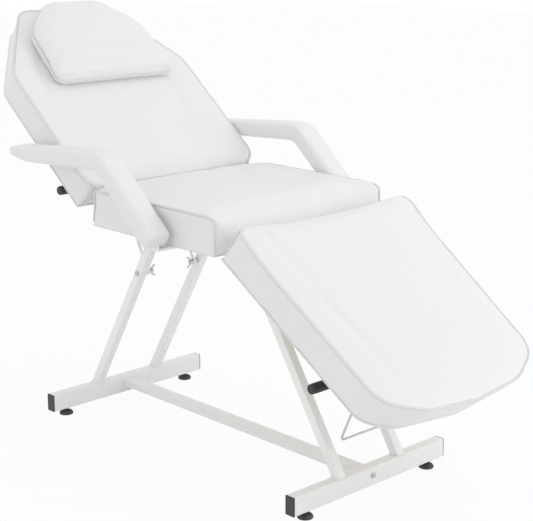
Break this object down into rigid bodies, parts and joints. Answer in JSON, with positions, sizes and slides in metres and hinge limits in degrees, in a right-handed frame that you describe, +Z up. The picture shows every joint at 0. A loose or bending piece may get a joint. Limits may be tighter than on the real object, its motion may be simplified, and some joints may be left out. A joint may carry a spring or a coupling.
{
  "type": "massage table",
  "caption": "White padded salon bed with tilting backrest and leg rest held by toothed struts, with armrests, a head pillow and a splayed steel frame on levelling feet.",
  "frame": {"origin": "centre of the overall box, on the floor under the levelling feet", "axes": "+X towards the foot end, +Y to the left of a person lying on the bed, +Z up"},
  "size_m": [1.6476, 0.77, 1.1726],
  "materials": {
    "white_vinyl": "satin",
    "white_steel": "gloss",
    "zinc_steel": "satin",
    "black_plastic": "satin",
    "plywood": "matte"
  },
  "bodies": {
    "frame": {"rear_crossbar": "white_steel", "front_crossbar": "white_steel", "crossbar_end_caps": "black_plastic", "tie_bar": "white_steel", "tie_bar_bolts": "zinc_steel", "tie_bar_nuts": "zinc_steel", "foot_inserts": "zinc_steel", "rear_leg_left": "white_steel", "rear_leg_right": "white_steel", "front_leg_left": "white_steel", "front_leg_right": "white_steel", "rear_strut_bolts": "zinc_steel", "rear_strut_spacers": "zinc_steel", "rear_wing_nuts": "zinc_steel", "front_strut_bolts": "zinc_steel", "front_strut_spacers": "zinc_steel", "front_wing_nuts": "zinc_steel", "seat_rail_left": "white_steel", "seat_rail_right": "white_steel", "seat_rail_caps": "black_plastic", "rear_cross_rail": "white_steel", "front_cross_rail": "white_steel", "backrest_hinge_lugs": "white_steel", "leg_rest_hinge_lugs": "white_steel", "backrest_hinge_pins": "zinc_steel", "leg_rest_hinge_pins": "zinc_steel", "seat_board": "plywood", "seat_cushion": "white_vinyl", "armrest_bracket_left": "white_steel", "armrest_bracket_right": "white_steel", "armrest_core_left": "plywood", "armrest_core_right": "plywood", "armrest_pad_left": "white_vinyl", "armrest_pad_right": "white_vinyl"},
    "backrest": {"backrest_board": "plywood", "backrest_cushion": "white_vinyl", "backrest_rail_left": "white_steel", "backrest_rail_right": "white_steel", "backrest_rail_caps": "black_plastic", "backrest_hinge_plates": "white_steel", "backrest_racks": "white_steel"},
    "leg_rest": {"leg_rest_board": "plywood", "leg_rest_cushion": "white_vinyl", "leg_rest_rail_left": "white_steel", "leg_rest_rail_right": "white_steel", "leg_rest_rail_caps": "black_plastic", "leg_rest_hinge_plates": "white_steel", "leg_rest_racks": "white_steel"},
    "backrest_strut": {"backrest_strut": "white_steel", "backrest_strut_grips": "black_plastic"},
    "leg_rest_strut": {"leg_rest_strut": "white_steel", "leg_rest_strut_grips": "black_plastic"},
    "bail": {"leg_rest_bail": "zinc_steel"},
    "pillow": {"head_pillow": "white_vinyl"},
    "levelling_foot_front_left": {"levelling_foot_front_left": "black_plastic"},
    "levelling_foot_front_right": {"levelling_foot_front_right": "black_plastic"},
    "levelling_foot_rear_left": {"levelling_foot_rear_left": "black_plastic"},
    "levelling_foot_rear_right": {"levelling_foot_rear_right": "black_plastic"}
  },
  "joints": [
    {"name": "backrest_hinge", "type": "hinge", "parent": "frame", "child": "backrest", "pos_m": [-0.25682, 0, 0.695], "axis": [0, 1, 0], "range_deg": [-39, 8]},
    {"name": "backrest_strut_swing", "type": "hinge", "parent": "frame", "child": "backrest_strut", "pos_m": [-0.28429, 0, 0.445], "axis": [0, 1, 0], "range_deg": [-27.5, 5.7]},
    {"name": "leg_rest_hinge", "type": "hinge", "parent": "frame", "child": "leg_rest", "pos_m": [0.25318, 0, 0.612], "axis": [0, 1, 0], "range_deg": [-35, 10]},
    {"name": "leg_rest_strut_swing", "type": "hinge", "parent": "frame", "child": "leg_rest_strut", "pos_m": [0.24382, 0, 0.445], "axis": [0, 1, 0], "range_deg": [-41, 11.8]},
    {"name": "bail_swing", "type": "hinge", "parent": "leg_rest_strut", "child": "bail", "pos_m": [0.55646, 0, 0.35997], "axis": [0, 1, 0], "range_deg": [-45, 25]},
    {"name": "pillow_lift", "type": "slide", "parent": "backrest", "child": "pillow", "axis": [0.6293, 0, 0.7771], "range_m": [0, 0.08]},
    {"name": "levelling_foot_front_left_screw", "type": "slide", "parent": "frame", "child": "levelling_foot_front_left", "axis": [0, 0, -1], "range_m": [0, 0.012]},
    {"name": "levelling_foot_front_right_screw", "type": "slide", "parent": "frame", "child": "levelling_foot_front_right", "axis": [0, 0, -1], "range_m": [0, 0.012]},
    {"name": "levelling_foot_rear_left_screw", "type": "slide", "parent": "frame", "child": "levelling_foot_rear_left", "axis": [0, 0, -1], "range_m": [0, 0.012]},
    {"name": "levelling_foot_rear_right_screw", "type": "slide", "parent": "frame", "child": "levelling_foot_rear_right", "axis": [0, 0, -1], "range_m": [0, 0.012]}
  ],
  "couplings": [
    {"joint": "backrest_strut_swing", "follows": "backrest_hinge", "ratio": 0.7},
    {"joint": "leg_rest_strut_swing", "follows": "leg_rest_hinge", "ratio": 1.17}
  ]
}
